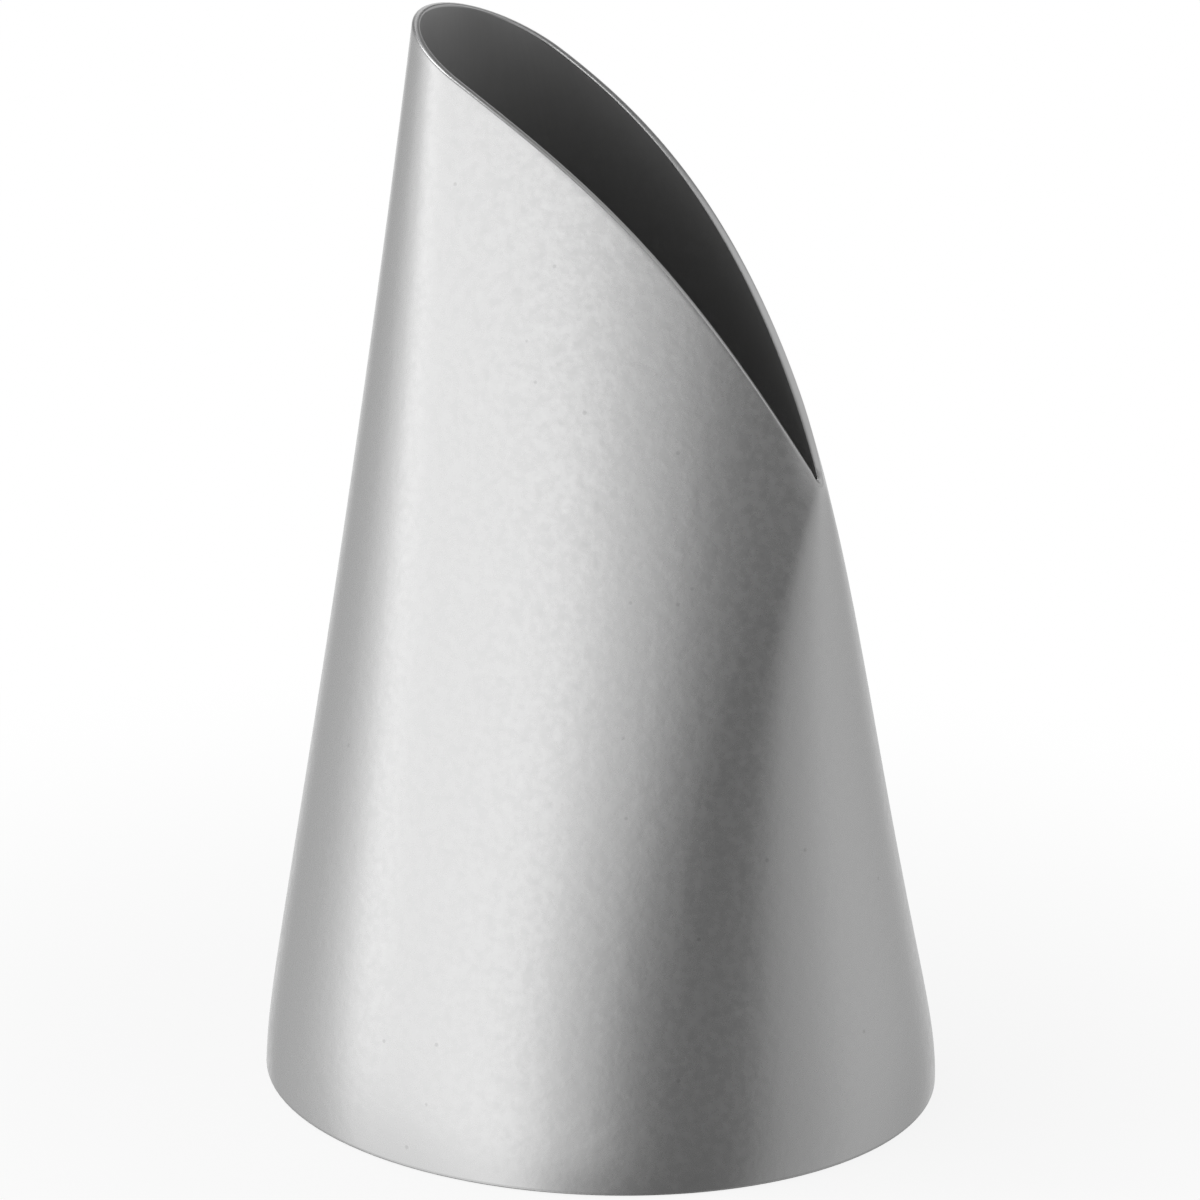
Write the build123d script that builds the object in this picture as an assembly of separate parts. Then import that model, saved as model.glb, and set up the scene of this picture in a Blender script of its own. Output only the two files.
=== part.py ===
from build123d import *
from math import atan2, cos, hypot, pi, sin, sqrt
import os

# A piping nozzle for petals: one seamless cone of thin stainless sheet.
# The round base goes into a piping bag. Towards the top the cone is pressed
# to a drop-shaped section, with a round heel (-X) and a folded toe (+X).
# A slanting, gently curved cut opens the mouth, from the heel's tip down to the fold.
# Millimetres. The origin is the centre of the base, +Z runs up the axis to the
# mouth, and the shape is the same on both sides of the plane Y = 0.

# The sheet and the overall size
base_diameter = 33.0
nozzle_height = 51.7
sheet = 0.4

# The round heel, measured outside at its tip
heel_tip_radius = 3.8
heel_tip_reach = 12.1

# The folded toe and the flanks, at the height where the mouth's cut meets the toe.
# The fold's bend tightens up to there, and on to the tightest bend above it.
fold_height = 32.3
fold_reach = 11.85
fold_inner_radius = 0.45
tightest_inner_radius = 0.2
flank_radius = 22.4

# The toe on the way up to the fold: how much rounder its bend stays than an even
# shrink would leave it, at most, and how far its line sinks back from a straight one
toe_swell = 2.0
toe_dip = 0.7

# The soft start of the taper above the base, and the back's slight bow
skirt_bend = 3.4
back_bow = 0.4

# The mouth's cut: how far along and how far up its handles are, from toe to heel tip
cut_run_shares = (1 / 3, 2 / 3)
cut_rise_shares = (0.68, 0.81)

# Where the sections stand: over the skirt as shares of its bend, then in even steps
skirt_level_shares = (0, 0.4, 0.8, 1.3, 1.9, 2.7)
lower_steps = 10
upper_steps = 9

# Every cut runs past the sheet by this much
overrun = 2.0

# Factors that bring the peak of x (1 - x) and of x^2 (1 - x) to 1
even_peak = 4
late_peak = 27 / 4

base_radius = base_diameter / 2
top_level = nozzle_height + overrun


def taper(z):
    """How far the cone has changed from its base circle at height z, 1 at the heel's tip."""
    rise = hypot(z, skirt_bend) - skirt_bend
    full_rise = hypot(nozzle_height, skirt_bend) - skirt_bend
    return rise / full_rise


def blend(start, end, share):
    return start + (end - start) * share


def bow(share):
    """Forward shift of a whole section, none at the base and at the tip."""
    return even_peak * back_bow * share * (1 - share)


def heel_circle(share):
    """Centre and radius of the heel's outer arc."""
    centre_x = (heel_tip_radius - heel_tip_reach) * share
    return centre_x, blend(base_radius, heel_tip_radius, share)


fold_share = taper(fold_height)
fold_outer_radius = fold_inner_radius + sheet
tightest_radius = tightest_inner_radius + sheet
fold_ease = fold_outer_radius - tightest_radius

# The toe's guide circle starts as the base circle and shrinks evenly, but for the swell:
# to this radius at the fold, and through zero above it
guide_end_radius = (fold_outer_radius + tightest_radius) / 2


def guide_shrink(growth):
    """What the guide circle's radius has lost, per unit of growth, 1 at the fold."""
    swell = late_peak * toe_swell * growth * (1 - growth)
    return base_radius - guide_end_radius - swell


def flank_offset(growth):
    """How far the flank's centre lies along and aside of the heel's, and the guide's along it.

    The flank's arc holds the heel's circle and the guide circle. All of them are the base
    circle at growth 0, so what sets them apart is worked out per unit of growth.
    """
    heel_x, heel_radius = heel_circle(fold_share)
    dip = even_peak * toe_dip * (1 - growth)
    toe_travel = fold_reach - bow(fold_share) - base_radius - dip
    to_heel = flank_radius - heel_radius
    to_guide = flank_radius - base_radius + guide_shrink(growth)
    gap = toe_travel + guide_shrink(growth) - heel_x
    along = (to_heel**2 - to_guide**2 + gap**2) / (2 * gap)
    return along, sqrt(to_heel**2 - along**2), gap


def toe_arc_radius(growth):
    """Outer radius of the toe's bend: the guide's, eased into the tightest bend above the fold."""
    over = base_radius - guide_shrink(growth) * growth - tightest_radius
    return tightest_radius + (over + sqrt(over**2 + 2 * fold_ease**2 * growth)) / 2


def section_arcs(z):
    """Outer arcs at height z: toe, flank and heel as centre and radius, and their two joints."""
    share = taper(z)
    growth = share / fold_share
    heel_x, heel_radius = heel_circle(share)
    along, aside, gap = flank_offset(growth)
    side_x = heel_x + along * growth
    side_y = -aside * growth
    side_radius = blend(base_radius, flank_radius, growth)
    toe_radius = toe_arc_radius(growth)
    toe_run = sqrt((side_radius - toe_radius) ** 2 - side_y**2)
    heel_joint = atan2(aside, -along)
    # on the base circle all the arcs are one, and the toe's joint is the guide circle's
    toe_joint = atan2(-side_y, toe_run) if growth else atan2(aside, gap - along)
    shift = bow(share)
    return {
        "toe": (side_x + toe_run + shift, 0, toe_radius),
        "flank": (side_x + shift, side_y, side_radius),
        "heel": (heel_x + shift, 0, heel_radius),
        "joints": (toe_joint, heel_joint),
    }


def on_arc(arc, angle, inset, z, side=1):
    centre_x, centre_y, radius = arc
    reach = radius - inset
    return (centre_x + reach * cos(angle), side * (centre_y + reach * sin(angle)), z)


def section_wire(z, inset):
    """Closed section of four tangent arcs, moved in by inset."""
    arcs = section_arcs(z)
    toe_joint, heel_joint = arcs["joints"]
    middle = (toe_joint + heel_joint) / 2
    toe, flank, heel = arcs["toe"], arcs["flank"], arcs["heel"]
    toe_left = on_arc(toe, toe_joint, inset, z)
    toe_right = on_arc(toe, toe_joint, inset, z, -1)
    heel_left = on_arc(heel, heel_joint, inset, z)
    heel_right = on_arc(heel, heel_joint, inset, z, -1)
    edges = [
        Edge.make_three_point_arc(toe_right, on_arc(toe, 0, inset, z), toe_left),
        Edge.make_three_point_arc(toe_left, on_arc(flank, middle, inset, z), heel_left),
        Edge.make_three_point_arc(heel_left, on_arc(heel, pi, inset, z), heel_right),
        Edge.make_three_point_arc(heel_right, on_arc(flank, middle, inset, z, -1), toe_right),
    ]
    return Wire(edges)


def section_levels():
    """Heights of the sections: close together over the skirt's bend, then up past the tip."""
    skirt = [skirt_bend * share for share in skirt_level_shares]
    lower = [blend(skirt[-1], fold_height, step / lower_steps) for step in range(1, lower_steps)]
    upper = [blend(fold_height, top_level, step / upper_steps) for step in range(upper_steps + 1)]
    return skirt + lower + upper


def cone(inset):
    wires = [section_wire(z, inset) for z in section_levels()]
    return Solid.make_loft(wires)


def mouth_cutter():
    """Everything above the mouth's cut, as one wide block across Y."""
    toe = Vector(fold_reach, 0, fold_height)
    tip = Vector(-heel_tip_reach, 0, nozzle_height)
    run = tip.X - toe.X
    rise = tip.Z - toe.Z
    handles = [
        Vector(toe.X + run * along, 0, toe.Z + rise * up)
        for along, up in zip(cut_run_shares, cut_rise_shares)
    ]
    cut = Edge.make_bezier(toe, handles[0], handles[1], tip)
    before_toe = toe - (handles[0] - toe).normalized() * overrun
    past_tip = tip + (tip - handles[1]).normalized() * overrun
    roof = past_tip.Z + overrun
    outer_x = before_toe.X
    top_right = Vector(outer_x, 0, roof)
    top_left = Vector(past_tip.X, 0, roof)
    outline = Wire([
        Edge.make_line(before_toe, toe),
        cut,
        Edge.make_line(tip, past_tip),
        Edge.make_line(past_tip, top_left),
        Edge.make_line(top_left, top_right),
        Edge.make_line(top_right, before_toe),
    ])
    half_width = base_radius + overrun
    face = Face(outline).moved(Location((0, -half_width, 0)))
    return Solid.extrude(face, Vector(0, 2 * half_width, 0))


def nozzle_shell():
    return cone(0) - cone(sheet) - mouth_cutter()


os.makedirs("parts", exist_ok=True)
export_step(nozzle_shell(), "parts/nozzle_shell.step")
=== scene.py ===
from math import cos, hypot, pi, radians, sin

import bpy
from mathutils import Matrix, Vector


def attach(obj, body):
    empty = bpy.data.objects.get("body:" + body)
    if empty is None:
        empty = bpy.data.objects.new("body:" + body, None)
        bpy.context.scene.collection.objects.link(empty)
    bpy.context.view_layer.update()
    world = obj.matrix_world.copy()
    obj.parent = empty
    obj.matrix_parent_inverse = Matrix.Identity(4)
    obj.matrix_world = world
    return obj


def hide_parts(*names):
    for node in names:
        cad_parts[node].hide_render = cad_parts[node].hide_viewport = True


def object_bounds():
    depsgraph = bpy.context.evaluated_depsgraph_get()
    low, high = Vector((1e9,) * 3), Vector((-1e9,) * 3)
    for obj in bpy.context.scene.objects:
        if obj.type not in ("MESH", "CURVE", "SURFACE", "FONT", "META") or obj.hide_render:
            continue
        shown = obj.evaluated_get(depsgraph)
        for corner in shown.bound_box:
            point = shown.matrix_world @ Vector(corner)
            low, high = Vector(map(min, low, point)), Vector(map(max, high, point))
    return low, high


bl_info = {
    "name": "Piping Nozzle",
    "version": (1, 0, 0),
    "blender": (4, 5, 0),
    "location": "View3D > Sidebar > Nozzle",
    "description": "Makes a petal piping nozzle of satin stainless sheet and a plain studio for it",
    "category": "Object",
}

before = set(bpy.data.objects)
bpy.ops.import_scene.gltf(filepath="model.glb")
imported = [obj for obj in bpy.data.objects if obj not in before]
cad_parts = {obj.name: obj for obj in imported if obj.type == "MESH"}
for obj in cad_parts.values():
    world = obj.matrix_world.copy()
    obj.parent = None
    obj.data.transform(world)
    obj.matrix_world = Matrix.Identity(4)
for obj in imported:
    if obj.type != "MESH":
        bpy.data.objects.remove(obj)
CAD_LOW, CAD_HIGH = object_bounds()

MM = 0.001
MATH = "ShaderNodeMath"
MIX = "ShaderNodeMix"

# The operations that the math nodes are set to most
ADD = {"operation": "ADD"}
SUBTRACT = {"operation": "SUBTRACT"}
MULTIPLY = {"operation": "MULTIPLY"}
DIVIDE = {"operation": "DIVIDE"}
MULTIPLY_ADD = {"operation": "MULTIPLY_ADD"}

# What the mesh carries for its finishes: each face's number, and each point's place on a straight tube
FINISH = "finish"
DRAWN_PLACE = "drawn_place"

# What the tree for the sheet is given besides the place on it, all lengths in metres
SECTION_SIZES = (
    "Base Radius", "Full Rise", "Fold Share", "Skirt Bend", "Back Bow", "Heel Tip Radius", "Heel Tip Reach",
    "Flank Radius", "Fold Heel X", "To Heel", "Toe Travel", "Toe Dip", "Toe Swell", "Guide Shrink",
    "Fold Radius", "Tightest Radius", "Fold Ease", "Turn Depth", "Turn Length", "Toe Share", "Flank Share",
)
CUT_SIZES = ("Fold Height", "Fold Reach", "Heel Tip Reach", "Cut Rise", "First Share", "Second Share")

# Factors that bring the peak of x (1 - x) and of x^2 (1 - x) to 1
EVEN_PEAK = 4.0
LATE_PEAK = 27 / 4

# How finely the sheet is divided: columns of half the round, rows of one wall and of one edge
TOE_COLUMNS = 20
FLANK_COLUMNS = 48
HEEL_COLUMNS = 36
WALL_ROWS = 110
EDGE_ROWS = 12

# Power that crowds the flank's columns towards the toe, where its surface turns most
FLANK_CROWDING = 1.5

# The rim's height on the leaning sheet is found in steps, each of which goes this share of the way
RIM_STEPS = 24
RIM_STEP_SHARE = 0.6

# Power of the cosine and sine of an edge's half turn: 1 is a round edge, and towards 0 it becomes square
CORNER_POWER = 0.72

# The net's seams are closed where points lie this close
SEAM_GAP = 0.001 * MM

# Sizes of the finishes' patterns. A tumbled surface's grain and an edge's grinding scratches are about
# 0.03 mm across, too fine to show in the render, so both are drawn coarser. The rest are real sizes.
GRAIN = 0.14 * MM
GRAIN_DEPTH = 0.001 * MM
DENT = 0.8 * MM
DENT_DEPTH = 0.011 * MM
MOTTLE = 0.45 * MM
# The outside's few dark specks: their outer radius, the core that is darkest, and their spacing
SPECK_RADIUS = 0.13 * MM
SPECK_CORE = SPECK_RADIUS / 2
SPECK_SPACING = 2.0 * MM
STREAK = (0.5 * MM, 0.5 * MM, 14 * MM)
STREAK_DEPTH = 0.003 * MM
SCRATCH = (0.3 * MM, 0.3 * MM, 0.12 * MM)
SCRATCH_DEPTH = 0.006 * MM

# How far the roughness of the inside and of the cut edges varies
ROUGHNESS_SPREAD = 0.10

# Brightness round the room, by degrees to the right of the camera as seen from the nozzle
LEFT_OF_CAMERA = {
    -180: 1.0, -168: 0.95, -150: 0.52, -124: 0.60, -106: 0.90, -88: 1.42, -72: 1.27, -32: 1.31, -6: 0.72,
}
BEHIND_NOZZLE = {168: 0.75, 180: 1.0}
EYE_LEVEL = {
    **LEFT_OF_CAMERA, 8: 0.32, 22: 0.17, 43: 0.165, 68: 0.42, 98: 0.60, 140: 0.74, **BEHIND_NOZZLE,
}

# Low down both walls are darker and the gap is wider, and higher up the right wall starts sooner
LOW_DOWN = {
    **EYE_LEVEL, -106: 0.70, -88: 1.04, -72: 1.02, -32: 1.16, -6: 0.44, 8: 0.24, 98: 0.56, 140: 0.46,
}
HIGHER_UP = {
    **LEFT_OF_CAMERA, 8: 0.30, 18: 0.18, 30: 0.20, 50: 0.46, 97: 0.60, 145: 0.54, **BEHIND_NOZZLE,
}
CEILING = {-180: 0.12, -60: 0.20, 15: 0.20, 50: 0.80, 105: 0.80, 140: 0.12, 180: 0.12}

# Each ring above the lowest one, with the elevations between which it takes over from the one below
RINGS_ABOVE = (
    (EYE_LEVEL, -16, 0),
    (HIGHER_UP, 5, 20),
    (CEILING, 20, 38),
)

# The white sweep behind the nozzle starts at this bearing on both sides
SWEEP_START = radians(172)

# Where the camera looks, beside the base's centre, its sensor's width in millimetres, and its near limit
AIM_RIGHT = -0.75 * MM
AIM_UP = 22.97 * MM
SENSOR_WIDTH = 36.0
NEAREST_SEEN = 10 * MM

# The overhead softbox, a little to the left of the nozzle
LAMP_WIDTH = 0.3
LAMP_PLACE = (-0.15, -0.1, 0.45)

# By the nozzle the camera sees the floor as this much plain white, and the rest matt, which takes the shadow.
# Between these shares of the floor's radius it fades to all white.
FLOOR_GLOW = 0.86
FADE_START = 0.15
FADE_END = 0.5
FLOOR_SIDES = 96

# The floor lies this far under the base
FLOOR_GAP = 0.02 * MM

# What the settings for lengths, for shares and for colours have in common
LENGTH = {"unit": "LENGTH", "subtype": "DISTANCE", "precision": 5}
SHARE = {"subtype": "FACTOR", "min": 0, "max": 1}
COLOUR = {"subtype": "COLOR", "size": 4, "min": 0, "max": 1}


def from_hex(code):
    """Linear RGBA of an sRGB hex code."""
    def linear(channel):
        return channel / 12.92 if channel <= 0.04045 else ((channel + 0.055) / 1.055) ** 2.4
    return (*(linear(int(code[place:place + 2], 16) / 255) for place in (1, 3, 5)), 1.0)


def add(tree, kind, settings=None, links=None):
    """Adds a node, gives it its settings, and fills or links its inputs, named or numbered."""
    node = tree.nodes.new(kind)
    for name, value in (settings or {}).items():
        setattr(node, name, value)
    for name, source in (links or {}).items():
        if isinstance(source, bpy.types.Node):
            source = source.outputs[0]
        if isinstance(source, bpy.types.NodeSocket):
            tree.links.new(source, node.inputs[name])
        else:
            node.inputs[name].default_value = source
    return node


class NozzleSizes(bpy.types.PropertyGroup):
    """The nozzle's real sizes"""

    base_diameter: bpy.props.FloatProperty(
        name="Base Diameter", description="Outside of the round base",
        default=CAD_HIGH.x - CAD_LOW.x, **LENGTH)
    nozzle_height: bpy.props.FloatProperty(
        name="Height", description="From the base to the heel's tip",
        default=CAD_HIGH.z - CAD_LOW.z, **LENGTH)
    sheet: bpy.props.FloatProperty(
        name="Sheet", description="Thickness of the stainless sheet", default=0.4 * MM, **LENGTH)
    heel_tip_radius: bpy.props.FloatProperty(
        name="Heel Tip Radius", description="Outside radius of the round heel at its tip",
        default=3.8 * MM, **LENGTH)
    heel_tip_reach: bpy.props.FloatProperty(
        name="Heel Tip Reach", description="From the axis back to the heel's tip",
        default=12.1 * MM, **LENGTH)
    fold_height: bpy.props.FloatProperty(
        name="Fold Height", description="Where the mouth's cut meets the folded toe",
        default=32.3 * MM, **LENGTH)
    fold_reach: bpy.props.FloatProperty(
        name="Fold Reach", description="From the axis forward to the folded toe at that height",
        default=11.85 * MM, **LENGTH)
    fold_inner_radius: bpy.props.FloatProperty(
        name="Fold Inner Radius", description="Inside radius of the fold at that height",
        default=0.45 * MM, **LENGTH)
    tightest_inner_radius: bpy.props.FloatProperty(
        name="Tightest Inner Radius", description="Inside radius that the fold tightens towards above it",
        default=0.2 * MM, **LENGTH)
    flank_radius: bpy.props.FloatProperty(
        name="Flank Radius", description="Outside radius of the flattened sides at the fold's height",
        default=22.4 * MM, **LENGTH)
    toe_swell: bpy.props.FloatProperty(
        name="Toe Swell", default=2.0 * MM, **LENGTH,
        description="How much larger the toe's bend is below the fold than an even shrink leaves it")
    toe_dip: bpy.props.FloatProperty(
        name="Toe Dip", description="How far the toe's line sinks back from a straight one below the fold",
        default=0.7 * MM, **LENGTH)
    turn_depth: bpy.props.FloatProperty(
        name="Turn Depth", description="What the soft turn beside the fold takes off the outside's corner",
        default=0.10 * MM, **LENGTH)
    turn_length: bpy.props.FloatProperty(
        name="Turn Length", description="How far along the flank the soft turn beside the fold reaches",
        default=1.4 * MM, **LENGTH)
    skirt_bend: bpy.props.FloatProperty(
        name="Skirt Bend", description="How softly the taper starts above the base",
        default=3.4 * MM, **LENGTH)
    back_bow: bpy.props.FloatProperty(
        name="Back Bow", description="How far the middle of the back stands forward of a straight line",
        default=0.4 * MM, **LENGTH)
    first_rise: bpy.props.FloatProperty(
        name="First Rise", description="Height of the cut's first handle, as a share of the cut's rise",
        default=0.68, **SHARE)
    second_rise: bpy.props.FloatProperty(
        name="Second Rise", description="Height of the cut's second handle, as a share of the cut's rise",
        default=0.81, **SHARE)
    rim_lean: bpy.props.FloatProperty(
        name="Rim Lean", description="How far the ground edge follows the cut's slope across the sheet",
        default=0.2, **SHARE)
    rim_softness: bpy.props.FloatProperty(
        name="Rim Softness", description="Depth of the deburred corners of the mouth's cut edge",
        default=0.15 * MM, **LENGTH)
    base_softness: bpy.props.FloatProperty(
        name="Base Softness", description="Depth of the rounded corners of the base's edge",
        default=0.18 * MM, **LENGTH)


class NozzleFinish(bpy.types.PropertyGroup):
    """The nozzle's colours and how dull each surface is"""

    outside_colour: bpy.props.FloatVectorProperty(
        name="Outside", description="Colour of the satin outside", default=from_hex("#D0D0D0"), **COLOUR)
    # The inside's colour is darker than the outside's as painted shade for the dark hollow, though the steel
    # is the same
    inside_colour: bpy.props.FloatVectorProperty(
        name="Inside", description="Colour of the dull inside", default=from_hex("#BEBEBE"), **COLOUR)
    edge_colour: bpy.props.FloatVectorProperty(
        name="Cut Edge", description="Colour of the ground edges", default=from_hex("#C4C4C4"), **COLOUR)
    outside_roughness: bpy.props.FloatProperty(
        name="Outside Roughness", description="Dullness of the satin outside", default=0.27, **SHARE)
    inside_roughness: bpy.props.FloatProperty(
        name="Inside Roughness", description="Dullness of the inside", default=0.7, **SHARE)
    edge_roughness: bpy.props.FloatProperty(
        name="Edge Roughness", description="Dullness of the ground edges", default=0.34, **SHARE)
    mottling: bpy.props.FloatProperty(
        name="Mottling", description="How far the outside's dullness varies from patch to patch",
        default=0.20, **SHARE)
    # How dark the colour gets in the outside's few small specks
    speck_strength: bpy.props.FloatProperty(
        name="Specks", description="How dark the few small pits of the outside are", default=0.15, **SHARE)


class NozzleStudio(bpy.types.PropertyGroup):
    """The floor, the light and the camera"""

    floor_colour: bpy.props.FloatVectorProperty(
        name="Floor", description="Colour of the pale floor", default=from_hex("#F2F2F2"), **COLOUR)
    floor_radius: bpy.props.FloatProperty(
        name="Floor Radius", description="From the nozzle's axis to the floor's edge", default=0.13, **LENGTH)
    lamp_power: bpy.props.FloatProperty(
        name="Lamp Power", description="Power of the overhead softbox", unit="POWER", default=0.7)
    camera_azimuth: bpy.props.FloatProperty(
        name="Camera Azimuth", description="How far the camera stands round from the -Y side towards +X",
        subtype="ANGLE", default=radians(35.72))
    camera_elevation: bpy.props.FloatProperty(
        name="Camera Elevation", description="How far the camera looks down", subtype="ANGLE",
        default=radians(17.92))
    camera_roll: bpy.props.FloatProperty(
        name="Camera Roll", description="How far the camera leans", subtype="ANGLE", default=radians(-1.78))
    camera_distance: bpy.props.FloatProperty(
        name="Camera Distance", description="From the camera to what it looks at", default=0.33, **LENGTH)
    camera_lens: bpy.props.FloatProperty(
        name="Lens", description="Focal length in millimetres", default=200.4)


def open_tree(name, inputs, outputs):
    """A new Geometry Nodes tree with its named sockets; returns the tree, its input and its output node."""
    tree = bpy.data.node_groups.new(name, "GeometryNodeTree")
    for title, kind in inputs:
        tree.interface.new_socket(name=title, in_out="INPUT", socket_type=kind)
    for title, kind in outputs:
        tree.interface.new_socket(name=title, in_out="OUTPUT", socket_type=kind)
    return tree, add(tree, "NodeGroupInput"), add(tree, "NodeGroupOutput")


def section_point_tree():
    """Place on the nozzle's section at a height.

    Toe, flank and heel are tangent arcs, and all of them grow out of the base's circle.
    """
    floats = ("Along", "Height", "Inset") + SECTION_SIZES
    tree, given, result = open_tree(
        "section_point", [(title, "NodeSocketFloat") for title in floats], [("Point", "NodeSocketVector")])
    size = given.outputs

    # share of the taper, 0 at the base and 1 at the heel's tip, and growth, which is 1 at the fold
    slant = add(tree, "ShaderNodeCombineXYZ", None, {"X": size["Height"], "Y": size["Skirt Bend"]})
    slant_length = add(tree, "ShaderNodeVectorMath", {"operation": "LENGTH"}, {0: slant})
    rise = add(tree, MATH, SUBTRACT, {0: slant_length.outputs["Value"], 1: size["Skirt Bend"]})
    share = add(tree, MATH, DIVIDE, {0: rise, 1: size["Full Rise"]})
    growth = add(tree, MATH, DIVIDE, {0: share, 1: size["Fold Share"]})

    # the heel's arc
    heel_travel = add(tree, MATH, SUBTRACT, {0: size["Heel Tip Radius"], 1: size["Heel Tip Reach"]})
    heel_x = add(tree, MATH, MULTIPLY, {0: heel_travel, 1: share})
    heel_radius = add(tree, MIX, {"clamp_factor": False},
                      {"Factor": share, "A": size["Base Radius"], "B": size["Heel Tip Radius"]})

    # the toe's guide circle: how much smaller it is, and how far back it lies, for each unit of growth
    left = add(tree, MATH, SUBTRACT, {0: 1.0, 1: growth})
    late = add(tree, MATH, MULTIPLY, {0: growth, 1: left})
    swell = add(tree, MATH, MULTIPLY, {0: late, 1: size["Toe Swell"]})
    shrink = add(tree, MATH, SUBTRACT, {0: size["Guide Shrink"], 1: swell})
    dip = add(tree, MATH, MULTIPLY, {0: left, 1: size["Toe Dip"]})
    toe_travel = add(tree, MATH, SUBTRACT, {0: size["Toe Travel"], 1: dip})
    guide_x = add(tree, MATH, ADD, {0: toe_travel, 1: shrink})
    gap = add(tree, MATH, SUBTRACT, {0: guide_x, 1: size["Fold Heel X"]})

    # the flank's arc holds the heel's circle and the guide circle
    widened = add(tree, MATH, SUBTRACT, {0: size["Flank Radius"], 1: size["Base Radius"]})
    to_guide = add(tree, MATH, ADD, {0: widened, 1: shrink})
    to_guide_squared = add(tree, MATH, MULTIPLY, {0: to_guide, 1: to_guide})
    to_heel_squared = add(tree, MATH, MULTIPLY, {0: size["To Heel"], 1: size["To Heel"]})
    nearer = add(tree, MATH, SUBTRACT, {0: to_heel_squared, 1: to_guide_squared})
    squares = add(tree, MATH, MULTIPLY_ADD, {0: gap, 1: gap, 2: nearer})
    two_gaps = add(tree, MATH, MULTIPLY, {0: gap, 1: 2.0})
    forward = add(tree, MATH, DIVIDE, {0: squares, 1: two_gaps})
    forward_squared = add(tree, MATH, MULTIPLY, {0: forward, 1: forward})
    drop_squared = add(tree, MATH, SUBTRACT, {0: to_heel_squared, 1: forward_squared})
    drop = add(tree, MATH, {"operation": "SQRT"}, {0: drop_squared})
    backward = add(tree, MATH, MULTIPLY, {0: forward, 1: -1.0})
    heel_joint = add(tree, MATH, {"operation": "ARCTAN2"}, {0: drop, 1: backward})
    flank_forward = add(tree, MATH, ADD, {0: size["Fold Heel X"], 1: forward})
    flank_x = add(tree, MATH, MULTIPLY, {0: flank_forward, 1: growth})
    sideways = add(tree, MATH, MULTIPLY, {0: drop, 1: growth})
    flank_y = add(tree, MATH, MULTIPLY, {0: sideways, 1: -1.0})
    flank_radius = add(tree, MIX, {"clamp_factor": False},
                       {"Factor": growth, "A": size["Base Radius"], "B": size["Flank Radius"]})

    # the toe's arc: its radius is the guide's, eased into the tightest one above the fold
    spread = add(tree, MATH, SUBTRACT, {0: size["Base Radius"], 1: size["Tightest Radius"]})
    shrunk = add(tree, MATH, MULTIPLY, {0: shrink, 1: growth})
    over = add(tree, MATH, SUBTRACT, {0: spread, 1: shrunk})
    over_squared = add(tree, MATH, MULTIPLY, {0: over, 1: over})
    ease_squared = add(tree, MATH, MULTIPLY, {0: size["Fold Ease"], 1: size["Fold Ease"]})
    two_ease = add(tree, MATH, MULTIPLY, {0: ease_squared, 1: 2.0})
    under_root = add(tree, MATH, MULTIPLY_ADD, {0: two_ease, 1: growth, 2: over_squared})
    root = add(tree, MATH, {"operation": "SQRT"}, {0: under_root})
    both = add(tree, MATH, ADD, {0: over, 1: root})
    toe_radius = add(tree, MATH, MULTIPLY_ADD, {0: both, 1: 0.5, 2: size["Tightest Radius"]})

    # how far the toe's centre lies from the flank's for each unit of growth: the two arcs are tangent
    eased = add(tree, MATH, DIVIDE, {0: ease_squared, 1: both})
    arm = add(tree, MATH, SUBTRACT, {0: to_guide, 1: eased})
    arm_squared = add(tree, MATH, MULTIPLY, {0: arm, 1: arm})
    run_squared = add(tree, MATH, SUBTRACT, {0: arm_squared, 1: drop_squared})
    run = add(tree, MATH, {"operation": "SQRT"}, {0: run_squared})
    reach_forward = add(tree, MATH, ADD, {0: flank_forward, 1: run})
    toe_x = add(tree, MATH, MULTIPLY, {0: reach_forward, 1: growth})
    toe_joint = add(tree, MATH, {"operation": "ARCTAN2"}, {0: drop, 1: run})

    # the angle of this place: the part of each arc that lies behind it, added up
    heel_start = add(tree, MATH, ADD, {0: size["Toe Share"], 1: size["Flank Share"]})
    on_toe = add(tree, "ShaderNodeMapRange", None, {"Value": size["Along"], "From Max": size["Toe Share"]})
    flank_place = add(tree, "ShaderNodeMapRange", None,
                      {"Value": size["Along"], "From Min": size["Toe Share"], "From Max": heel_start})
    on_flank = add(tree, MATH, {"operation": "POWER"}, {0: flank_place, 1: FLANK_CROWDING})
    on_heel = add(tree, "ShaderNodeMapRange", None, {"Value": size["Along"], "From Min": heel_start})
    flank_turn = add(tree, MATH, SUBTRACT, {0: heel_joint, 1: toe_joint})
    heel_turn = add(tree, MATH, SUBTRACT, {0: pi, 1: heel_joint})
    past_toe = add(tree, MATH, MULTIPLY, {0: toe_joint, 1: on_toe})
    past_flank = add(tree, MATH, MULTIPLY_ADD, {0: flank_turn, 1: on_flank, 2: past_toe})
    angle = add(tree, MATH, MULTIPLY_ADD, {0: heel_turn, 1: on_heel, 2: past_flank})

    # the arc that this place is on, as its centre in X and Y and its radius in Z
    toe_arc = add(tree, "ShaderNodeCombineXYZ", None, {"X": toe_x, "Z": toe_radius})
    flank_arc = add(tree, "ShaderNodeCombineXYZ", None, {"X": flank_x, "Y": flank_y, "Z": flank_radius})
    heel_arc = add(tree, "ShaderNodeCombineXYZ", None, {"X": heel_x, "Z": heel_radius})
    after_toe = add(tree, MATH, {"operation": "GREATER_THAN"}, {0: size["Along"], 1: size["Toe Share"]})
    after_flank = add(tree, MATH, {"operation": "GREATER_THAN"}, {0: size["Along"], 1: heel_start})
    front = add(tree, "GeometryNodeSwitch", {"input_type": "VECTOR"},
                {"Switch": after_toe, "False": toe_arc, "True": flank_arc})
    arc = add(tree, "GeometryNodeSwitch", {"input_type": "VECTOR"},
              {"Switch": after_flank, "False": front, "True": heel_arc})
    centre = add(tree, "ShaderNodeSeparateXYZ", None, {"Vector": arc})

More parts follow.
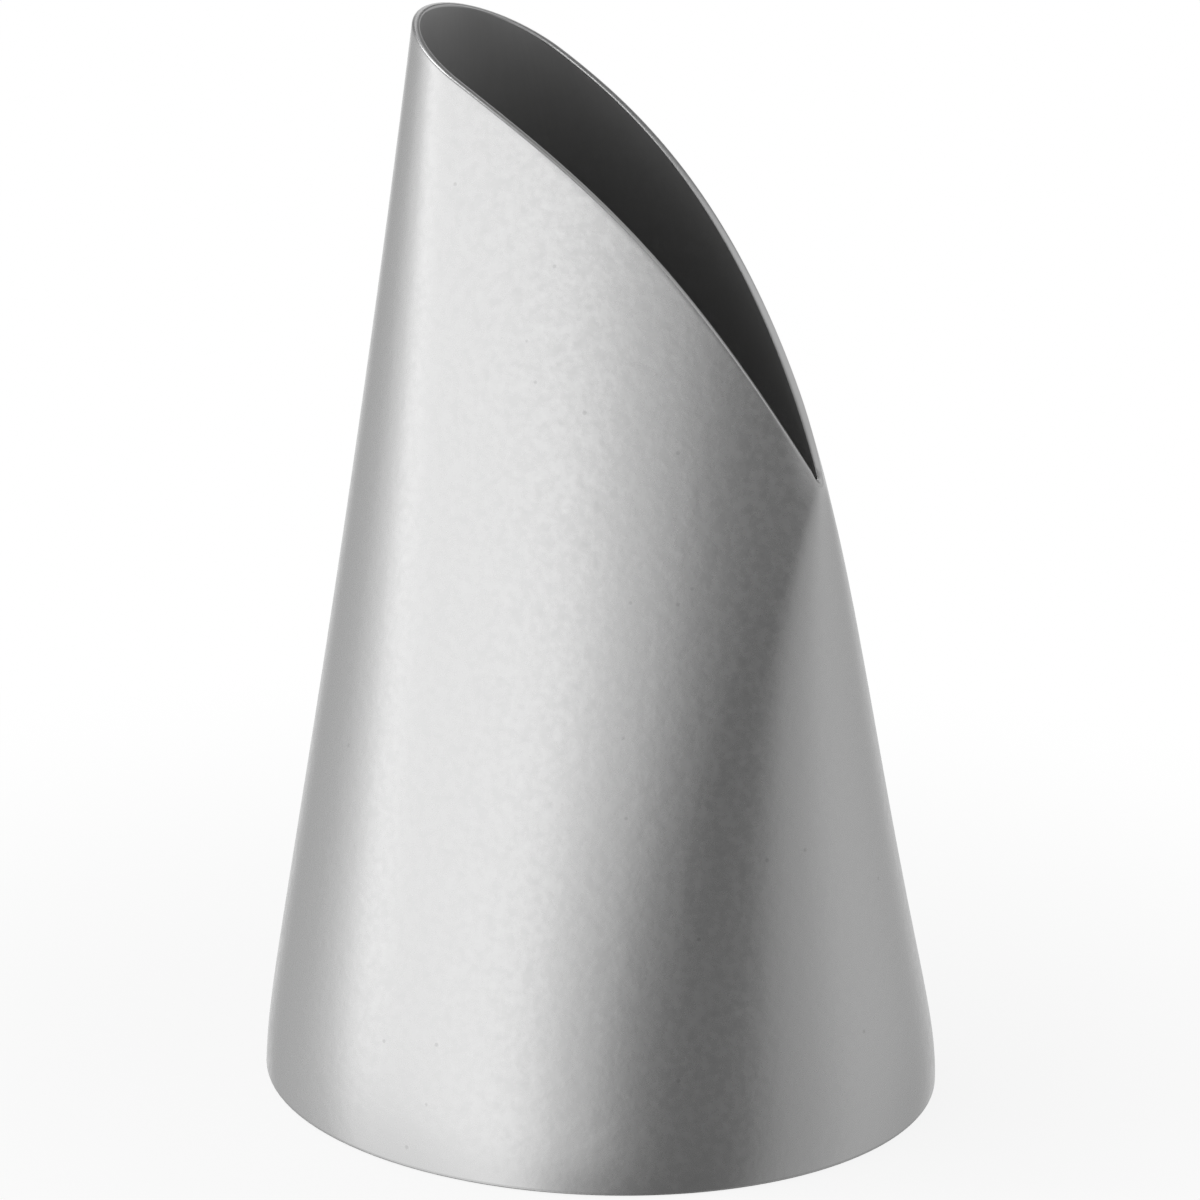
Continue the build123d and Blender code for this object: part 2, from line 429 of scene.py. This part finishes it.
    # the back's bow shifts the whole section forward
    share_left = add(tree, MATH, SUBTRACT, {0: 1.0, 1: share})
    bowed = add(tree, MATH, MULTIPLY, {0: share, 1: share_left})
    four_bow = add(tree, MATH, MULTIPLY, {0: size["Back Bow"], 1: EVEN_PEAK})
    shifted = add(tree, MATH, MULTIPLY_ADD, {0: four_bow, 1: bowed, 2: centre.outputs["X"]})

    # the soft turn beside the fold: two curves that take the corner off, one on each arc, the same in slope
    # and depth where they meet, and fainter the rounder the toe is
    flank_run = add(tree, MATH, MULTIPLY, {0: flank_turn, 1: flank_radius})
    from_toe = add(tree, MATH, MULTIPLY, {0: flank_run, 1: on_flank})
    turned = add(tree, MATH, DIVIDE, {0: from_toe, 1: size["Turn Length"]})
    to_turn = add(tree, MATH, {"operation": "SUBTRACT", "use_clamp": True}, {0: 1.0, 1: turned})
    toe_length = add(tree, MATH, MULTIPLY, {0: toe_radius, 1: toe_joint})
    toe_turns = add(tree, MATH, DIVIDE, {0: toe_length, 1: size["Turn Length"]})
    toe_squared = add(tree, MATH, MULTIPLY, {0: on_toe, 1: on_toe})
    to_joint = add(tree, MATH, SUBTRACT, {0: 1.0, 1: toe_squared})
    on_nose = add(tree, MATH, MULTIPLY, {0: toe_turns, 1: to_joint})
    off_corner = add(tree, MATH, MULTIPLY_ADD, {0: to_turn, 1: to_turn, 2: on_nose})
    sharpness = add(tree, MATH, DIVIDE, {0: size["Fold Radius"], 1: toe_radius})
    turn_share = add(tree, MATH, MULTIPLY, {0: sharpness, 1: growth})
    turn_depth = add(tree, MATH, MULTIPLY, {0: turn_share, 1: size["Turn Depth"]})
    trimmed = add(tree, MATH, MULTIPLY_ADD, {0: off_corner, 1: turn_depth, 2: size["Inset"]})

    reach = add(tree, MATH, SUBTRACT, {0: centre.outputs["Z"], 1: trimmed})
    across = add(tree, MATH, {"operation": "COSINE"}, {0: angle})
    aside = add(tree, MATH, {"operation": "SINE"}, {0: angle})
    x = add(tree, MATH, MULTIPLY_ADD, {0: reach, 1: across, 2: shifted})
    y = add(tree, MATH, MULTIPLY_ADD, {0: reach, 1: aside, 2: centre.outputs["Y"]})
    point = add(tree, "ShaderNodeCombineXYZ", None, {"X": x, "Y": y, "Z": size["Height"]})
    tree.links.new(point.outputs[0], result.inputs["Point"])
    return tree


def cut_height_tree():
    """Height of the mouth's cut above a place on the X axis: a cubic curve from the toe to the heel's tip."""
    tree, given, result = open_tree(
        "cut_height", [(title, "NodeSocketFloat") for title in ("X",) + CUT_SIZES],
        [("Height", "NodeSocketFloat")])
    size = given.outputs
    back = add(tree, MATH, SUBTRACT, {0: size["Fold Reach"], 1: size["X"]})
    span = add(tree, MATH, ADD, {0: size["Fold Reach"], 1: size["Heel Tip Reach"]})
    step = add(tree, MATH, DIVIDE, {0: back, 1: span})
    # the curve's weights: 3 a for the step, 3 b - 6 a for its square, 1 + 3 a - 3 b for its cube
    linear = add(tree, MATH, MULTIPLY, {0: size["First Share"], 1: 3.0})
    handles = add(tree, MATH, SUBTRACT, {0: size["Second Share"], 1: size["First Share"]})
    triple = add(tree, MATH, MULTIPLY, {0: handles, 1: 3.0})
    square = add(tree, MATH, SUBTRACT, {0: triple, 1: linear})
    cube = add(tree, MATH, MULTIPLY_ADD, {0: handles, 1: -3.0, 2: 1.0})
    inner = add(tree, MATH, MULTIPLY_ADD, {0: cube, 1: step, 2: square})
    middle = add(tree, MATH, MULTIPLY_ADD, {0: inner, 1: step, 2: linear})
    up = add(tree, MATH, MULTIPLY, {0: middle, 1: step})
    height = add(tree, MATH, MULTIPLY_ADD, {0: up, 1: size["Cut Rise"], 2: size["Fold Height"]})
    tree.links.new(height.outputs[0], result.inputs["Height"])
    return tree


def soft_corner_tree():
    """Pulls a circle's cosine or sine out towards a square's: the round of a deburred edge."""
    tree, given, result = open_tree(
        "soft_corner", [("Value", "NodeSocketFloat")], [("Value", "NodeSocketFloat")])
    size = add(tree, MATH, {"operation": "ABSOLUTE"}, {0: given})
    fuller = add(tree, MATH, {"operation": "POWER"}, {0: size, 1: CORNER_POWER})
    sign = add(tree, MATH, {"operation": "SIGN"}, {0: given})
    value = add(tree, MATH, MULTIPLY, {0: fuller, 1: sign})
    tree.links.new(value.outputs[0], result.inputs["Value"])
    return tree


def sheet_tree():
    """The whole sheet as one closed net.

    Its rows run up the outside, over the cut rim, down the inside and round the base's edge.
    """
    edge_sizes = ("Sheet", "Rim Lean", "Rim Softness", "Base Softness")
    sizes = tuple(dict.fromkeys(SECTION_SIZES + CUT_SIZES + edge_sizes))
    counts = ("Columns", "Wall Rows", "Edge Rows", "Rim Steps")
    finishes = ("Outside", "Cut Edge", "Inside")
    tree, given, result = open_tree(
        "pressed_sheet",
        [(title, "NodeSocketFloat") for title in sizes] + [(title, "NodeSocketInt") for title in counts]
        + [(title, "NodeSocketMaterial") for title in finishes],
        [("Geometry", "NodeSocketGeometry")])
    size = given.outputs
    section_tree, cut_tree, soft_tree = section_point_tree(), cut_height_tree(), soft_corner_tree()

    # the net: columns run round from the toe, rows run along the sheet's own outline in four bands
    inside_start = add(tree, MATH, ADD, {0: size["Wall Rows"], 1: size["Edge Rows"]})
    rows = add(tree, MATH, MULTIPLY, {0: inside_start, 1: 2.0})
    row_points = add(tree, MATH, ADD, {0: rows, 1: 1.0})
    column_points = add(tree, MATH, ADD, {0: size["Columns"], 1: 1.0})
    net = add(tree, "GeometryNodeMeshGrid", None,
              {"Size X": 1.0, "Size Y": 1.0, "Vertices X": column_points, "Vertices Y": row_points})
    place = add(tree, "ShaderNodeSeparateXYZ", None, {"Vector": add(tree, "GeometryNodeInputPosition")})
    turn = add(tree, MATH, ADD, {0: place.outputs["X"], 1: 0.5})
    row_share = add(tree, MATH, ADD, {0: place.outputs["Y"], 1: 0.5})
    row = add(tree, MATH, MULTIPLY, {0: row_share, 1: rows})
    double_turn = add(tree, MATH, MULTIPLY, {0: turn, 1: 2.0})
    along = add(tree, MATH, {"operation": "PINGPONG"}, {0: double_turn, 1: 1.0})
    before_heel = add(tree, MATH, SUBTRACT, {0: 0.5, 1: turn})
    side = add(tree, MATH, {"operation": "SIGN"}, {0: before_heel})
    base_start = add(tree, MATH, ADD, {0: inside_start, 1: size["Wall Rows"]})

    # the number of the finish that each face has, kept on the faces of the flat net
    past_outside = add(tree, MATH, {"operation": "GREATER_THAN"}, {0: row, 1: size["Wall Rows"]})
    past_rim = add(tree, MATH, {"operation": "GREATER_THAN"}, {0: row, 1: inside_start})
    past_inside = add(tree, MATH, {"operation": "GREATER_THAN"}, {0: row, 1: base_start})
    first = add(tree, MATH, ADD, {0: past_outside, 1: past_rim})
    number = add(tree, MATH, SUBTRACT, {0: first, 1: past_inside})
    marked = add(tree, "GeometryNodeStoreNamedAttribute", {"domain": "FACE"},
                 {"Geometry": net, "Name": FINISH, "Value": number})

    # how much of each band lies behind this row, from 0 to 1
    outside = add(tree, "ShaderNodeMapRange", None, {"Value": row, "From Max": size["Wall Rows"]})
    rim = add(tree, "ShaderNodeMapRange", None,
              {"Value": row, "From Min": size["Wall Rows"], "From Max": inside_start})
    inside = add(tree, "ShaderNodeMapRange", None,
                 {"Value": row, "From Min": inside_start, "From Max": base_start})
    base = add(tree, "ShaderNodeMapRange", None, {"Value": row, "From Min": base_start, "From Max": rows})

    # the rim and the base's edge are half turns with soft corners
    corner = {}
    for title, share in (("rim", rim), ("base", base)):
        half_turn = add(tree, MATH, MULTIPLY, {0: share, 1: pi})
        for operation in ("COSINE", "SINE"):
            wave = add(tree, MATH, {"operation": operation}, {0: half_turn})
            corner[title, operation] = add(
                tree, "GeometryNodeGroup", {"node_tree": soft_tree}, {"Value": wave})
    across = add(tree, MATH, SUBTRACT, {0: corner["base", "COSINE"], 1: corner["rim", "COSINE"]})
    half_sheet = add(tree, MATH, MULTIPLY, {0: size["Sheet"], 1: 0.5})
    inset = add(tree, MATH, MULTIPLY, {0: half_sheet, 1: across})

    # the cut's height over this column: the sheet leans, so it is found in steps
    rim_inset = add(tree, MATH, MULTIPLY, {0: inset, 1: size["Rim Lean"]})
    repeat_in = add(tree, "GeometryNodeRepeatInput")
    repeat_out = add(tree, "GeometryNodeRepeatOutput")
    repeat_in.pair_with_output(repeat_out)
    repeat_out.repeat_items.clear()
    repeat_out.repeat_items.new("FLOAT", "Rim Height")
    tree.links.new(size["Rim Steps"], repeat_in.inputs["Iterations"])
    tree.links.new(size["Fold Height"], repeat_in.inputs["Rim Height"])
    # the soft turn beside the fold is the outside's alone, so the mouth keeps its sharp end and its height
    inside_share = add(tree, MATH, MULTIPLY, {0: across, 1: 0.5})
    outside_share = add(tree, MATH, SUBTRACT, {0: 1.0, 1: inside_share})
    outside_turn = add(tree, MATH, MULTIPLY, {0: outside_share, 1: size["Turn Depth"]})
    section_sizes = {title: size[title] for title in SECTION_SIZES}
    trial = add(tree, "GeometryNodeGroup", {"node_tree": section_tree},
                {**section_sizes, "Along": along, "Height": repeat_in.outputs["Rim Height"],
                 "Inset": rim_inset, "Turn Depth": 0.0})
    trial_place = add(tree, "ShaderNodeSeparateXYZ", None, {"Vector": trial})
    cut = add(tree, "GeometryNodeGroup", {"node_tree": cut_tree},
              {"X": trial_place.outputs["X"], **{title: size[title] for title in CUT_SIZES}})
    nearer = add(tree, MIX, None, {"Factor": RIM_STEP_SHARE, "A": repeat_in.outputs["Rim Height"], "B": cut})
    tree.links.new(nearer.outputs[0], repeat_out.inputs["Rim Height"])

    # the height of this row: up the walls between the two soft edges, and over each edge's round
    up = add(tree, MATH, SUBTRACT, {0: outside, 1: inside})
    soft_depth = add(tree, MATH, ADD, {0: size["Rim Softness"], 1: size["Base Softness"]})
    wall = add(tree, MATH, SUBTRACT, {0: repeat_out.outputs["Rim Height"], 1: soft_depth})
    on_wall = add(tree, MATH, MULTIPLY_ADD, {0: wall, 1: up, 2: size["Base Softness"]})
    on_rim = add(tree, MATH, MULTIPLY_ADD, {0: corner["rim", "SINE"], 1: size["Rim Softness"], 2: on_wall})
    under_base = add(tree, MATH, MULTIPLY, {0: corner["base", "SINE"], 1: size["Base Softness"]})
    height = add(tree, MATH, SUBTRACT, {0: on_rim, 1: under_base})
    half_point = add(tree, "GeometryNodeGroup", {"node_tree": section_tree},
                     {**section_sizes, "Along": along, "Height": height, "Inset": inset,
                      "Turn Depth": outside_turn})
    mirror = add(tree, "ShaderNodeCombineXYZ", None, {"X": 1.0, "Y": side, "Z": 1.0})
    point = add(tree, "ShaderNodeVectorMath", MULTIPLY, {0: half_point, 1: mirror})

    # where each point would be on a straight tube as wide as the base, for the finishes' patterns
    round_turn = add(tree, MATH, MULTIPLY, {0: turn, 1: 2 * pi})
    tube_x = add(tree, MATH, {"operation": "COSINE"}, {0: round_turn})
    tube_y = add(tree, MATH, {"operation": "SINE"}, {0: round_turn})
    tube_round = add(tree, "ShaderNodeCombineXYZ", None, {"X": tube_x, "Y": tube_y})
    tube_wide = add(tree, "ShaderNodeVectorMath", {"operation": "SCALE"},
                    {0: tube_round, "Scale": size["Base Radius"]})
    tube_high = add(tree, "ShaderNodeCombineXYZ", None, {"Z": height})
    tube_point = add(tree, "ShaderNodeVectorMath", ADD, {0: tube_wide, 1: tube_high})
    placed = add(tree, "GeometryNodeStoreNamedAttribute", {"data_type": "FLOAT_VECTOR"},
                 {"Geometry": marked, "Name": DRAWN_PLACE, "Value": tube_point})
    shaped = add(tree, "GeometryNodeSetPosition", None, {"Geometry": placed, "Position": point})

    # the net's seams are closed, and each face gets the finish of its band
    closed = add(tree, "GeometryNodeMergeByDistance", None, {"Geometry": shaped, "Distance": SEAM_GAP})
    smooth = add(tree, "GeometryNodeSetShadeSmooth", None, {"Geometry": closed})
    dressed = add(tree, "GeometryNodeRealizeInstances", None, {"Geometry": smooth})
    finish = add(tree, "GeometryNodeInputNamedAttribute", None, {"Name": FINISH})
    for code, title in enumerate(finishes):
        chosen = add(tree, MATH, {"operation": "COMPARE"}, {0: finish, 1: code, 2: 0.5})
        dressed = add(tree, "GeometryNodeSetMaterial", None,
                      {"Geometry": dressed, "Selection": chosen, "Material": size[title]})
    tree.links.new(dressed.outputs[0], result.inputs["Geometry"])
    return tree


def sheet_values(sizes):
    """The tree's inputs, worked out from the sizes, with the circles' places and changes at the fold."""
    base_radius = sizes.base_diameter / 2

    def rise(height):
        return hypot(height, sizes.skirt_bend) - sizes.skirt_bend

    full_rise = rise(sizes.nozzle_height)
    fold_share = rise(sizes.fold_height) / full_rise
    fold_bow = EVEN_PEAK * sizes.back_bow * fold_share * (1 - fold_share)
    heel_radius = base_radius + (sizes.heel_tip_radius - base_radius) * fold_share
    fold_ease = sizes.fold_inner_radius - sizes.tightest_inner_radius
    tightest_radius = sizes.tightest_inner_radius + sizes.sheet
    guide_end_radius = tightest_radius + fold_ease / 2
    columns = TOE_COLUMNS + FLANK_COLUMNS + HEEL_COLUMNS
    return {
        "Base Radius": base_radius,
        "Full Rise": full_rise,
        "Fold Share": fold_share,
        "Skirt Bend": sizes.skirt_bend,
        "Back Bow": sizes.back_bow,
        "Heel Tip Radius": sizes.heel_tip_radius,
        "Heel Tip Reach": sizes.heel_tip_reach,
        "Flank Radius": sizes.flank_radius,
        "Fold Heel X": (sizes.heel_tip_radius - sizes.heel_tip_reach) * fold_share,
        "To Heel": sizes.flank_radius - heel_radius,
        "Toe Travel": sizes.fold_reach - fold_bow - base_radius,
        "Toe Dip": EVEN_PEAK * sizes.toe_dip,
        "Toe Swell": LATE_PEAK * sizes.toe_swell,
        "Guide Shrink": base_radius - guide_end_radius,
        "Fold Radius": tightest_radius + fold_ease,
        "Tightest Radius": tightest_radius,
        "Fold Ease": fold_ease,
        "Turn Depth": sizes.turn_depth,
        "Turn Length": sizes.turn_length,
        "Toe Share": TOE_COLUMNS / columns,
        "Flank Share": FLANK_COLUMNS / columns,
        "Fold Height": sizes.fold_height,
        "Fold Reach": sizes.fold_reach,
        "Cut Rise": sizes.nozzle_height - sizes.fold_height,
        "First Share": sizes.first_rise,
        "Second Share": sizes.second_rise,
        "Sheet": sizes.sheet,
        "Rim Lean": sizes.rim_lean,
        "Rim Softness": sizes.rim_softness,
        "Base Softness": sizes.base_softness,
        "Columns": 2 * columns,
        "Wall Rows": WALL_ROWS,
        "Edge Rows": EDGE_ROWS,
        "Rim Steps": RIM_STEPS,
    }


def metal(name, colour):
    """A new material with bare metal's shader; returns the material, its tree and the shader."""
    material = bpy.data.materials.new(name)
    material.use_nodes = True
    tree = material.node_tree
    shader = tree.nodes["Principled BSDF"]
    shader.inputs["Metallic"].default_value = 1.0
    shader.inputs["Base Color"].default_value = colour
    return material, tree, shader


def patches(tree, place, size, detail=2.0):
    """Noise whose patches have this size, one length or one for each axis."""
    sizes = size if isinstance(size, tuple) else (size, size, size)
    scaled = add(tree, "ShaderNodeVectorMath", DIVIDE, {0: place, 1: sizes})
    return add(tree, "ShaderNodeTexNoise", None, {"Vector": scaled, "Scale": 1.0, "Detail": detail})


def drawn_place(tree):
    """The place on the sheet as a straight tube, so that a pattern follows the drawing round and up it."""
    return add(tree, "ShaderNodeAttribute", {"attribute_name": DRAWN_PLACE}).outputs["Vector"]


def emboss(tree, shader, layers):
    """Gives the shader a relief of several height patterns, each with its depth."""
    relief = None
    for pattern, depth in layers:
        links = {"Height": pattern, "Distance": depth}
        if relief:
            links["Normal"] = relief
        relief = add(tree, "ShaderNodeBump", None, links)
    tree.links.new(relief.outputs[0], shader.inputs["Normal"])


def vary_roughness(tree, shader, pattern, roughness, spread):
    """Lets the roughness follow a pattern round its mean."""
    varied = add(tree, MATH, MULTIPLY_ADD, {0: pattern, 1: spread, 2: roughness - spread / 2})
    tree.links.new(varied.outputs[0], shader.inputs["Roughness"])


def satin_stainless(finish):
    """Tumbled stainless: a softly dented, mottled satin that scatters the light, with a few faint dark
    specks.
    """
    material, tree, shader = metal("satin_tumbled_stainless", finish.outside_colour)
    place = add(tree, "ShaderNodeTexCoord").outputs["Object"]
    grain = patches(tree, place, GRAIN)
    dents = patches(tree, place, DENT)
    mottle = patches(tree, place, MOTTLE, detail=3.0)
    emboss(tree, shader, ((grain, GRAIN_DEPTH), (dents, DENT_DEPTH)))
    vary_roughness(tree, shader, mottle, finish.outside_roughness, finish.mottling)
    # The colour darkens towards black in a few small specks spread at random
    cells = add(tree, "ShaderNodeTexVoronoi", None, {"Vector": place, "Scale": 1 / SPECK_SPACING})
    specks = add(tree, "ShaderNodeMapRange", {"interpolation_type": "SMOOTHSTEP"},
               {"Value": cells.outputs["Distance"], "From Min": SPECK_CORE / SPECK_SPACING,
                "From Max": SPECK_RADIUS / SPECK_SPACING, "To Min": finish.speck_strength, "To Max": 0.0})
    colour = add(tree, MIX, {"data_type": "RGBA"},
                 {"Factor": specks, 6: finish.outside_colour, 7: (0.0, 0.0, 0.0, 1.0)})
    tree.links.new(colour.outputs[2], shader.inputs["Base Color"])
    return material


def dull_stainless_painted_shade(finish):
    """The untouched inside of the drawn sheet: duller, with faint streaks from the drawing die. Its colour is
    darker than the outside's as painted shade for the dark hollow.
    """
    material, tree, shader = metal("dull_drawn_stainless_painted_shade", finish.inside_colour)
    streaks = patches(tree, drawn_place(tree), STREAK)
    emboss(tree, shader, ((streaks, STREAK_DEPTH),))
    vary_roughness(tree, shader, streaks, finish.inside_roughness, ROUGHNESS_SPREAD)
    return material


def ground_edge(finish):
    """The sheet's ground and deburred edges: fine scratches that glint unevenly along the rim."""
    material, tree, shader = metal("ground_stainless_edge", finish.edge_colour)
    scratches = patches(tree, drawn_place(tree), SCRATCH)
    emboss(tree, shader, ((scratches, SCRATCH_DEPTH),))
    vary_roughness(tree, shader, scratches, finish.edge_roughness, ROUGHNESS_SPREAD)
    return material


def is_closed(mesh):
    """Whether each edge of the mesh lies between two faces."""
    faces_at = {}
    for face in mesh.polygons:
        for edge in face.edge_keys:
            faces_at[edge] = faces_at.get(edge, 0) + 1
    return set(faces_at.values()) == {2}


class NOZZLE_OT_make_sheet(bpy.types.Operator):
    """Makes the nozzle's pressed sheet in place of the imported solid"""

    bl_idname = "nozzle.make_sheet"
    bl_label = "Make Sheet"

    def execute(self, context):
        finish = context.scene.nozzle_finish
        values = sheet_values(context.scene.nozzle_sizes)
        values["Outside"] = satin_stainless(finish)
        values["Cut Edge"] = ground_edge(finish)
        # the inside's finish, its colour darkened as painted shade for the hollow
        values["Inside"] = dull_stainless_painted_shade(finish)
        maker = bpy.data.objects.new("sheet_maker", bpy.data.meshes.new("sheet_maker"))
        context.scene.collection.objects.link(maker)
        modifier = maker.modifiers.new("pressed_sheet", "NODES")
        modifier.node_group = sheet_tree()
        for item in modifier.node_group.interface.items_tree:
            if item.in_out == "INPUT":
                modifier[item.identifier] = values[item.name]
        evaluated = maker.evaluated_get(context.evaluated_depsgraph_get())
        mesh = bpy.data.meshes.new_from_object(evaluated)
        bpy.data.objects.remove(maker)
        if not is_closed(mesh):
            raise RuntimeError("the sheet isn't closed: check its sizes")
        mesh.name = "nozzle_sheet"
        piece = bpy.data.objects.new("nozzle_sheet", mesh)
        context.scene.collection.objects.link(piece)
        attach(piece, "root")
        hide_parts("nozzle_shell")
        return {"FINISHED"}


def level_ramp(tree, place, levels):
    """A grey ramp over the bearings, from the level at each stop in degrees."""
    ramp = add(tree, "ShaderNodeValToRGB", None, {"Fac": place})
    stops = ramp.color_ramp
    stops.interpolation = "EASE"
    while len(stops.elements) > 1:
        stops.elements.remove(stops.elements[0])
    for number, (degrees, level) in enumerate(levels.items()):
        spot = (degrees + 180) / 360
        stop = stops.elements[0] if number == 0 else stops.elements.new(spot)
        stop.position = spot
        stop.color = (level, level, level, 1.0)
    return ramp


def studio_world(studio):
    """The room that the metal mirrors: a bright left wall, a dark gap by the camera, a white sweep behind."""
    world = bpy.data.worlds.new("studio")
    world.use_nodes = True
    tree = world.node_tree
    background = tree.nodes["Background"]
    direction = add(tree, "ShaderNodeTexCoord")
    turned = add(tree, "ShaderNodeVectorRotate", {"rotation_type": "Z_AXIS"},
                 {"Vector": direction.outputs["Generated"], "Angle": -studio.camera_azimuth})
    split = add(tree, "ShaderNodeSeparateXYZ", None, {"Vector": turned})
    towards = add(tree, MATH, MULTIPLY, {0: split.outputs["Y"], 1: -1.0})
    bearing = add(tree, MATH, {"operation": "ARCTAN2"}, {0: split.outputs["X"], 1: towards})
    place = add(tree, "ShaderNodeMapRange", None, {"Value": bearing, "From Min": -pi, "From Max": pi})
    room = level_ramp(tree, place, LOW_DOWN).outputs["Color"]
    for levels, start, end in RINGS_ABOVE:
        ring = level_ramp(tree, place, levels)
        share = add(tree, "ShaderNodeMapRange", {"interpolation_type": "SMOOTHSTEP"},
                    {"Value": split.outputs["Z"], "From Min": sin(radians(start)),
                     "From Max": sin(radians(end))})
        room = add(tree, MIX, {"data_type": "RGBA"}, {"Factor": share, 6: room, 7: ring}).outputs[2]
    path = add(tree, "ShaderNodeLightPath")
    away = add(tree, MATH, {"operation": "ABSOLUTE"}, {0: bearing})
    behind = add(tree, MATH, {"operation": "GREATER_THAN"}, {0: away, 1: SWEEP_START})
    bounced = add(tree, MATH, {"operation": "MAXIMUM"},
                  {0: path.outputs["Is Glossy Ray"], 1: path.outputs["Is Transmission Ray"]})
    on_sweep = add(tree, MATH, MULTIPLY, {0: bounced, 1: behind})
    white = add(tree, MATH, {"operation": "MAXIMUM"}, {0: path.outputs["Is Camera Ray"], 1: on_sweep})
    seen = add(tree, MIX, {"data_type": "RGBA"}, {"Factor": white, 6: room, 7: (1.0, 1.0, 1.0, 1.0)})
    tree.links.new(seen.outputs[2], background.inputs["Color"])
    return world


def floor_material(studio, base_radius):
    """A matt pale floor that fades to the white background away from the nozzle and keeps its shadow.

    Outside the nozzle it lets reflections through to the room, since the photographed metal shows no floor.
    """
    material = bpy.data.materials.new("matt_white_floor")
    material.use_nodes = True
    tree = material.node_tree
    tree.nodes.clear()
    result = add(tree, "ShaderNodeOutputMaterial")
    matt = add(tree, "ShaderNodeBsdfDiffuse", None, {"Color": studio.floor_colour})
    white = add(tree, "ShaderNodeEmission")
    coordinates = add(tree, "ShaderNodeTexCoord")
    distance = add(tree, "ShaderNodeVectorMath", {"operation": "LENGTH"}, {0: coordinates.outputs["Object"]})
    fade = add(tree, "ShaderNodeMapRange", {"interpolation_type": "SMOOTHSTEP"},
               {"Value": distance.outputs["Value"], "From Min": FADE_START * studio.floor_radius,
                "From Max": FADE_END * studio.floor_radius, "To Min": FLOOR_GLOW, "To Max": 1.0})
    path = add(tree, "ShaderNodeLightPath")
    share = add(tree, MATH, MULTIPLY, {0: path.outputs["Is Camera Ray"], 1: fade})
    mixed = add(tree, "ShaderNodeMixShader", None, {0: share, 1: matt, 2: white})
    outside = add(tree, MATH, {"operation": "GREATER_THAN"}, {0: distance.outputs["Value"], 1: base_radius})
    hidden = add(tree, MATH, MULTIPLY, {0: path.outputs["Is Glossy Ray"], 1: outside})
    clear = add(tree, "ShaderNodeBsdfTransparent")
    surface = add(tree, "ShaderNodeMixShader", None, {0: hidden, 1: mixed, 2: clear})
    tree.links.new(surface.outputs[0], result.inputs["Surface"])
    return material


def make_floor(context, studio, base_radius):
    """A round floor just under the base."""
    turns = [2 * pi * side / FLOOR_SIDES for side in range(FLOOR_SIDES)]
    rim = [(studio.floor_radius * cos(turn), studio.floor_radius * sin(turn), -FLOOR_GAP) for turn in turns]
    mesh = bpy.data.meshes.new("floor")
    mesh.from_pydata(rim, [], [tuple(range(FLOOR_SIDES))])
    mesh.materials.append(floor_material(studio, base_radius))
    floor = bpy.data.objects.new("floor", mesh)
    context.scene.collection.objects.link(floor)


def make_camera(context, studio):
    """The camera stands at its bearing round the nozzle and looks at a point beside the axis."""
    bearing, height, roll = studio.camera_azimuth, studio.camera_elevation, studio.camera_roll
    back = Vector((sin(bearing) * cos(height), -cos(bearing) * cos(height), sin(height)))
    right = Vector((cos(bearing), sin(bearing), 0.0))
    up = back.cross(right)
    target = AIM_RIGHT * right + AIM_UP * up
    leaning_right = cos(roll) * right - sin(roll) * up
    leaning_up = sin(roll) * right + cos(roll) * up
    camera = bpy.data.objects.new("camera", bpy.data.cameras.new("camera"))
    camera.data.lens = studio.camera_lens
    camera.data.sensor_width = SENSOR_WIDTH
    camera.data.clip_start = NEAREST_SEEN
    turn = Matrix((leaning_right, leaning_up, back)).transposed().to_4x4()
    camera.matrix_world = Matrix.Translation(target + back * studio.camera_distance) @ turn
    context.scene.collection.objects.link(camera)
    context.scene.camera = camera


def make_lamp(context, studio):
    """The round overhead softbox, turned to the nozzle."""
    lamp = bpy.data.objects.new("overhead_softbox", bpy.data.lights.new("overhead_softbox", "AREA"))
    lamp.data.shape = "DISK"
    lamp.data.size = LAMP_WIDTH
    lamp.data.energy = studio.lamp_power
    lamp.location = LAMP_PLACE
    lamp.rotation_mode = "QUATERNION"
    lamp.rotation_quaternion = lamp.location.to_track_quat("Z", "Y")
    lamp.visible_camera = False
    context.scene.collection.objects.link(lamp)


class NOZZLE_OT_make_stage(bpy.types.Operator):
    """Makes the pale floor, the soft studio light and the camera"""

    bl_idname = "nozzle.make_stage"
    bl_label = "Make Stage"

    def execute(self, context):
        studio = context.scene.nozzle_studio
        context.scene.world = studio_world(studio)
        context.scene.view_settings.view_transform = "Standard"
        make_floor(context, studio, context.scene.nozzle_sizes.base_diameter / 2)
        make_lamp(context, studio)
        make_camera(context, studio)
        return {"FINISHED"}


class NOZZLE_PT_sidebar(bpy.types.Panel):
    """Lists the nozzle's makers, sizes, finishes and studio settings"""

    bl_idname = "NOZZLE_PT_sidebar"
    bl_label = "Piping Nozzle"
    bl_space_type = "VIEW_3D"
    bl_region_type = "UI"
    bl_category = "Nozzle"

    def draw(self, context):
        for maker in MAKERS:
            self.layout.operator(maker.bl_idname)
        for name in SETTINGS:
            group = getattr(context.scene, name)
            for field in group.bl_rna.properties:
                if field.identifier not in ("rna_type", "name"):
                    self.layout.prop(group, field.identifier)


MAKERS = (NOZZLE_OT_make_stage, NOZZLE_OT_make_sheet)
SETTINGS = {
    "nozzle_sizes": NozzleSizes,
    "nozzle_finish": NozzleFinish,
    "nozzle_studio": NozzleStudio,
}


def register():
    for kind in (*SETTINGS.values(), *MAKERS, NOZZLE_PT_sidebar):
        bpy.utils.register_class(kind)
    for name, kind in SETTINGS.items():
        setattr(bpy.types.Scene, name, bpy.props.PointerProperty(type=kind))


def unregister():
    for name in SETTINGS:
        delattr(bpy.types.Scene, name)
    for kind in reversed((*SETTINGS.values(), *MAKERS, NOZZLE_PT_sidebar)):
        bpy.utils.unregister_class(kind)


def main():
    register()
    bpy.ops.nozzle.make_stage()
    bpy.ops.nozzle.make_sheet()


if __name__ == "__main__":
    main()
